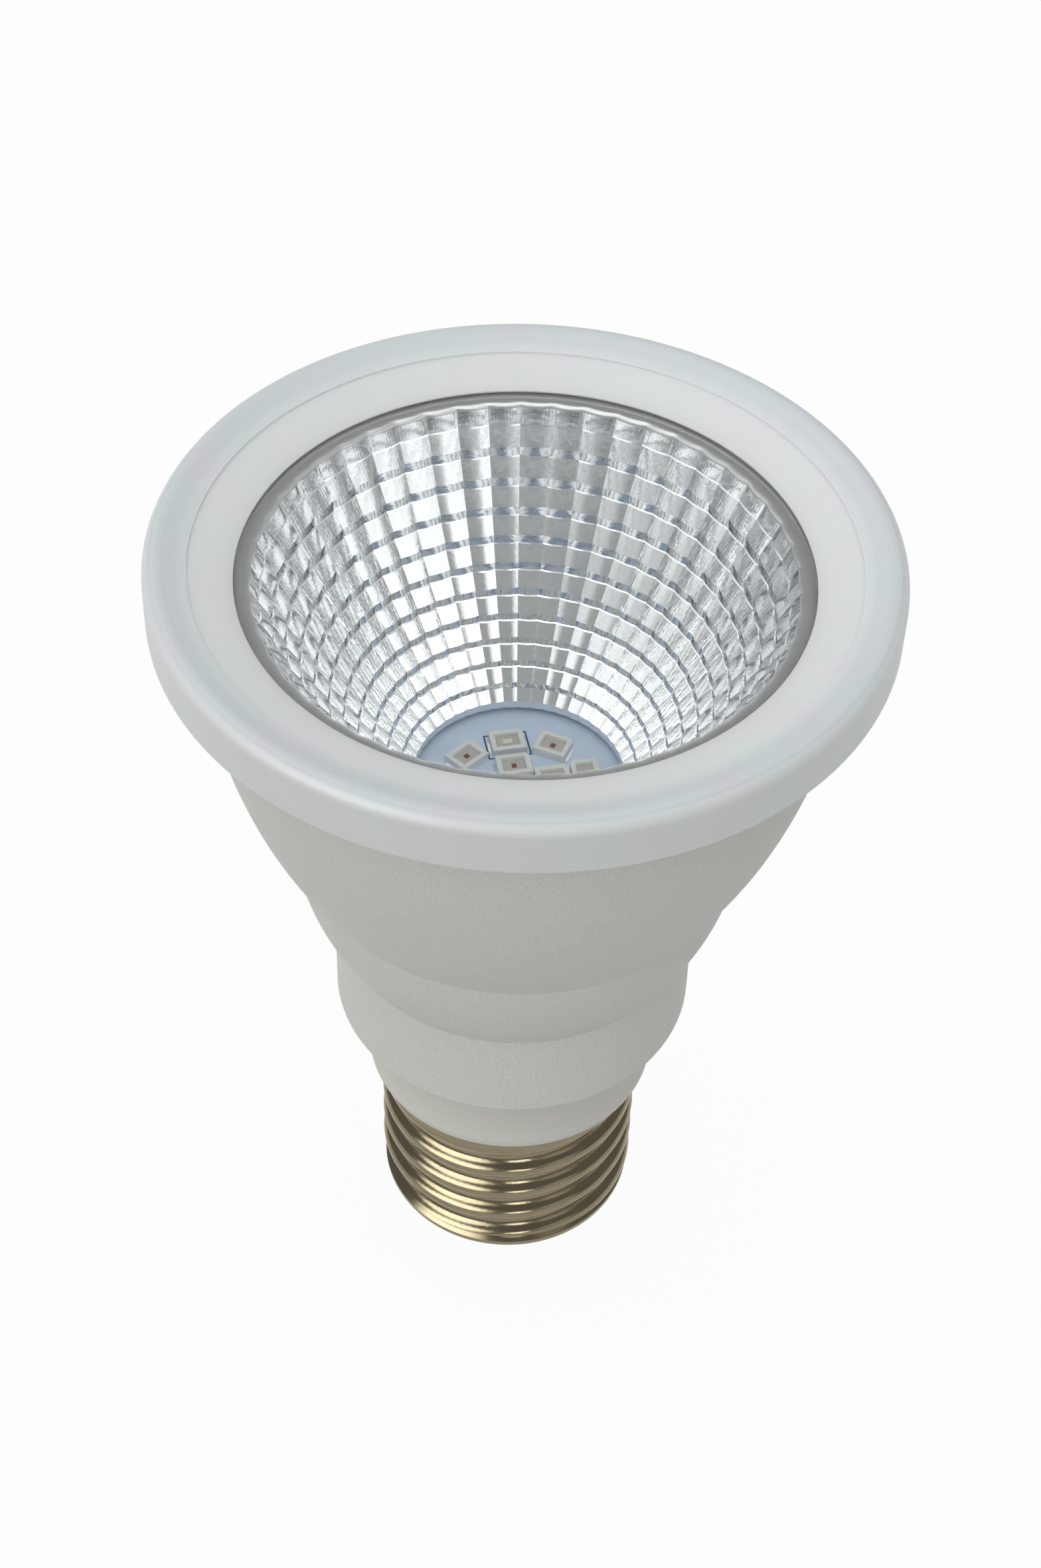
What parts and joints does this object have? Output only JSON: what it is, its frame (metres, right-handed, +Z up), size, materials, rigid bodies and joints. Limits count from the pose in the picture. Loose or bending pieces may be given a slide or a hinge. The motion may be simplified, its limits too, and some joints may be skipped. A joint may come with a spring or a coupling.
{
  "type": "grow light bulb",
  "caption": "Screw-cap LED grow light bulb: tapered three-lobed metal housing, faceted mirror reflector over red and blue LEDs, clear lens held by a soft translucent ring",
  "frame": {"origin": "tip of the centre contact, on the lamp's axis: the point that bottoms in a lampholder", "axes": "+Z runs up the lamp's axis from the cap to the front lens; +Y is the far side in the picture, +X its right"},
  "size_m": [0.066, 0.066, 0.0917],
  "materials": {
    "contact_metal": "tinned, worn bright",
    "cap_glass": "black vitreous insulator",
    "cap_metal": "nickel-plated, bright",
    "neck_plastic": "silver-grey, satin",
    "driver_laminate": "bare laminate",
    "chip_plastic": "moulded epoxy",
    "fuse_coating": "dipped coating",
    "capacitor_sleeve": "shrunk sleeve",
    "ferrite": "pressed ferrite",
    "winding_tape": "taped winding",
    "black_wire_sleeve": "extruded sleeve",
    "white_wire_sleeve": "extruded sleeve",
    "red_wire_sleeve": "extruded sleeve",
    "housing_metal": "die cast, satin lacquer with a fine grain",
    "pad_rubber": "soft, matt",
    "board_mask": "white solder mask on a metal core",
    "screw_steel": "zinc-plated",
    "led_body": "moulded white",
    "red_die": "bare die under clear resin",
    "blue_die": "bare die under clear resin",
    "reflector_mirror": "vacuum-metallised plastic",
    "lens_clear": "clear, polished",
    "ring_rubber": "translucent milky silicone, satin"
  },
  "bodies": {
    "root": {"centre_contact": "contact_metal", "cap_insulator": "cap_glass", "screw_shell": "cap_metal", "driver_case": "neck_plastic", "driver_board": "driver_laminate", "bridge_rectifier": "chip_plastic", "driver_chip": "chip_plastic", "fuse_resistor": "fuse_coating", "input_capacitor": "capacitor_sleeve", "output_capacitor": "capacitor_sleeve", "transformer_core": "ferrite", "transformer_winding": "winding_tape", "live_wire": "black_wire_sleeve", "neutral_wire": "white_wire_sleeve", "positive_wire": "red_wire_sleeve", "negative_wire": "black_wire_sleeve", "housing": "housing_metal", "thermal_pad": "pad_rubber", "led_board": "board_mask", "board_screws": "screw_steel", "blue_led_1": "led_body", "blue_led_2": "led_body", "red_led_1": "led_body", "red_led_2": "led_body", "red_led_3": "led_body", "red_led_4": "led_body", "red_led_5": "led_body", "red_led_6": "led_body", "red_led_7": "led_body", "red_led_8": "led_body", "red_led_9": "led_body", "red_led_10": "led_body", "red_led_dies": "red_die", "blue_led_dies": "blue_die", "reflector": "reflector_mirror", "front_lens": "lens_clear", "seal_ring": "ring_rubber"}
  },
  "joints": []
}
